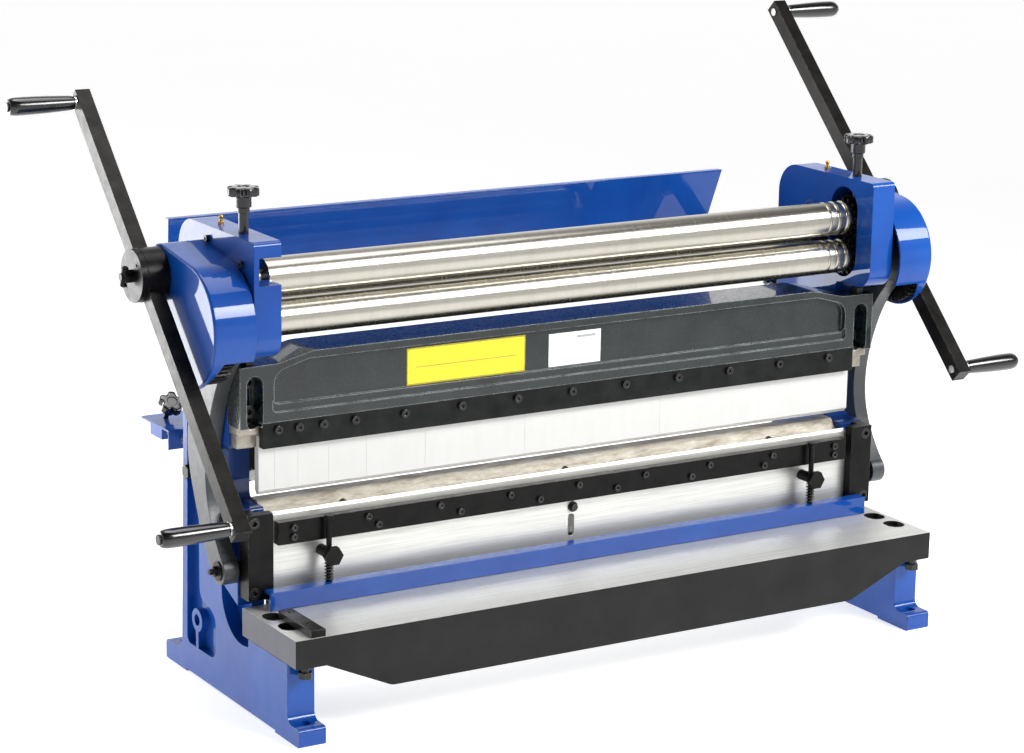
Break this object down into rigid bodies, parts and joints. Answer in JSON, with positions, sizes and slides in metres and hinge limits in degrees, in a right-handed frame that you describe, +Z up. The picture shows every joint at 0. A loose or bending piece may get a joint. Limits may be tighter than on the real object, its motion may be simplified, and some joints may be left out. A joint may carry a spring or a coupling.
{
  "type": "sheet metal brake",
  "caption": "Bench machine that shears, folds and rolls sheet metal: raked blades, finger brake with V die and geared slip rolls, worked by cranked pinions and links.",
  "frame": {"origin": "centre of the four foot bolt holes, on the bench surface", "axes": "+X to the right seen from the front, along the rolls; +Y to the rear; +Z up"},
  "size_m": [1.484, 0.6765, 0.899],
  "materials": {
    "blue_paint": "gloss enamel",
    "hammered_grey": "hammered gloss enamel",
    "blackened_steel": "black oxide, oiled",
    "bright_steel": "ground",
    "roll_steel": "turned and polished",
    "machined_iron": "machined",
    "dark_iron": "painted dark grey",
    "bronze": "machined",
    "brass": "polished",
    "black_plastic": "gloss",
    "plate": "printed sheet",
    "gear_steel": "oiled black"
  },
  "bodies": {
    "frame": {"left_side_frame": "blue_paint", "right_side_frame": "blue_paint", "table": "machined_iron", "lower_shear_blade": "bright_steel", "table_screws": "blackened_steel", "squaring_gauge": "blackened_steel", "upper_beam": "hammered_grey", "frame_screws": "blackened_steel", "finger_clamp_bar": "blackened_steel", "fingers": "bright_steel", "guide_bars": "blackened_steel", "left_gear_cover": "blue_paint", "right_gear_cover": "blue_paint", "frame_bearings": "bronze", "rear_guard": "blue_paint", "guard_brackets": "blue_paint", "rear_tie_bar": "blackened_steel", "gauge_rods": "bright_steel", "grease_nipples": "brass", "plates": "plate"},
    "main_shaft": {"lower_roll": "roll_steel", "drive_gears": "gear_steel", "eccentrics": "gear_steel", "lower_roll_gear": "gear_steel"},
    "roll_carriage": {"upper_bearing_blocks": "gear_steel"},
    "upper_roll": {"upper_roll": "roll_steel", "upper_roll_gear": "gear_steel"},
    "left_roll_screw": {"left_roll_screw": "blackened_steel"},
    "right_roll_screw": {"right_roll_screw": "blackened_steel"},
    "rear_roll_carriage": {"rear_bearing_blocks": "gear_steel", "rear_roll_screws": "blackened_steel"},
    "rear_roll": {"rear_roll": "roll_steel"},
    "ram": {"ram": "machined_iron", "v_die_front_bar": "bright_steel", "die_clamp_bar": "blackened_steel", "ram_screws": "blackened_steel", "upper_shear_blade": "bright_steel", "ram_pins": "blackened_steel", "links": "dark_iron", "hold_down_cross_bolts": "blackened_steel", "hold_down_springs": "blackened_steel"},
    "hold_down": {"hold_down_bar": "blue_paint", "hold_down_rods": "blackened_steel"},
    "back_gauge": {"back_gauge": "blue_paint"},
    "left_gauge_knob": {"left_gauge_knob": "black_plastic"},
    "right_gauge_knob": {"right_gauge_knob": "black_plastic"},
    "left_crank": {"left_pinion_shaft": "gear_steel", "left_crank_hub": "blackened_steel", "left_hub_cap": "blackened_steel"},
    "left_arm": {"left_crank_arm": "blackened_steel", "left_grip_pins": "bright_steel"},
    "left_lower_grip": {"left_lower_grip": "black_plastic"},
    "left_upper_grip": {"left_upper_grip": "black_plastic"},
    "right_crank": {"right_pinion_shaft": "gear_steel", "right_crank_hub": "blackened_steel", "right_hub_cap": "blackened_steel"},
    "right_arm": {"right_crank_arm": "blackened_steel", "right_grip_pins": "bright_steel"},
    "right_lower_grip": {"right_lower_grip": "black_plastic"},
    "right_upper_grip": {"right_upper_grip": "black_plastic"}
  },
  "joints": [
    {"name": "main_shaft_turn", "type": "hinge", "parent": "frame", "child": "main_shaft", "pos_m": [0, -0.014, 0.5505], "axis": [1, 0, 0], "range_deg": [0, 120]},
    {"name": "roll_gap", "type": "slide", "parent": "frame", "child": "roll_carriage", "axis": [0, 0, 1], "range_m": [-0.0065, 0]},
    {"name": "upper_roll_turn", "type": "hinge", "parent": "roll_carriage", "child": "upper_roll", "pos_m": [0, -0.014, 0.6097], "axis": [1, 0, 0], "range_deg": [-120, 0]},
    {"name": "rear_roll_slide", "type": "slide", "parent": "frame", "child": "rear_roll_carriage", "axis": [0, -0.866, 0.5], "range_m": [-0.025, 0.008]},
    {"name": "rear_roll_turn", "type": "hinge", "parent": "rear_roll_carriage", "child": "rear_roll", "pos_m": [0, 0.05, 0.56], "axis": [1, 0, 0], "continuous": true},
    {"name": "ram_slide", "type": "slide", "parent": "frame", "child": "ram", "axis": [0, 0, 1], "range_m": [0, 0.0312]},
    {"name": "hold_down_slide", "type": "slide", "parent": "ram", "child": "hold_down", "axis": [0, 0, 1], "range_m": [-0.0188, 0], "deforming": ["hold_down_springs"]},
    {"name": "back_gauge_slide", "type": "slide", "parent": "frame", "child": "back_gauge", "axis": [0, 1, 0], "range_m": [-0.17, 0.008]},
    {"name": "left_crank_turn", "type": "hinge", "parent": "frame", "child": "left_crank", "pos_m": [0, 0.0736, 0.6084], "axis": [1, 0, 0], "range_deg": [-347, 0]},
    {"name": "left_arm_slide", "type": "slide", "parent": "left_crank", "child": "left_arm", "axis": [0, 0.7071, 0.7071], "range_m": [-0.12, 0.12]},
    {"name": "left_lower_grip_spin", "type": "hinge", "parent": "left_arm", "child": "left_lower_grip", "pos_m": [-0.7, -0.21207, 0.32273], "axis": [1, 0, 0], "continuous": true},
    {"name": "left_upper_grip_spin", "type": "hinge", "parent": "left_arm", "child": "left_upper_grip", "pos_m": [-0.7, 0.2829, 0.8177], "axis": [1, 0, 0], "continuous": true},
    {"name": "left_roll_screw_turn", "type": "hinge", "parent": "roll_carriage", "child": "left_roll_screw", "pos_m": [-0.521, -0.014, 0.68], "axis": [0, 0, 1], "range_deg": [-1170.5, 0]},
    {"name": "left_gauge_knob_turn", "type": "hinge", "parent": "back_gauge", "child": "left_gauge_knob", "pos_m": [-0.45, 0.422, 0.292], "axis": [0, -0.6298, 0.7768], "range_deg": [0, 90]},
    {"name": "right_crank_turn", "type": "hinge", "parent": "frame", "child": "right_crank", "pos_m": [0, 0.0736, 0.6084], "axis": [1, 0, 0], "range_deg": [-347, 0]},
    {"name": "right_arm_slide", "type": "slide", "parent": "right_crank", "child": "right_arm", "axis": [0, 0.7071, 0.7071], "range_m": [-0.12, 0.12]},
    {"name": "right_lower_grip_spin", "type": "hinge", "parent": "right_arm", "child": "right_lower_grip", "pos_m": [0.7, -0.14914, 0.38566], "axis": [1, 0, 0], "continuous": true},
    {"name": "right_upper_grip_spin", "type": "hinge", "parent": "right_arm", "child": "right_upper_grip", "pos_m": [0.7, 0.34584, 0.88064], "axis": [1, 0, 0], "continuous": true},
    {"name": "right_roll_screw_turn", "type": "hinge", "parent": "roll_carriage", "child": "right_roll_screw", "pos_m": [0.521, -0.014, 0.68], "axis": [0, 0, 1], "range_deg": [-1170.5, 0]},
    {"name": "right_gauge_knob_turn", "type": "hinge", "parent": "back_gauge", "child": "right_gauge_knob", "pos_m": [0.45, 0.422, 0.292], "axis": [0, -0.6298, 0.7768], "range_deg": [0, 90]}
  ],
  "couplings": [
    {"joint": "upper_roll_turn", "follows": "main_shaft_turn", "ratio": -1},
    {"joint": "left_crank_turn", "follows": "main_shaft_turn", "ratio": -2.8889},
    {"joint": "right_crank_turn", "follows": "main_shaft_turn", "ratio": -2.8889},
    {"joint": "ram_slide", "follows": "main_shaft_turn", "m_per_rad": 0.014887},
    {"joint": "hold_down_slide", "follows": "main_shaft_turn", "m_per_rad": -0.00893},
    {"joint": "left_roll_screw_turn", "follows": "roll_gap", "rad_per_m": 3141.6},
    {"joint": "right_roll_screw_turn", "follows": "roll_gap", "rad_per_m": 3141.6}
  ]
}
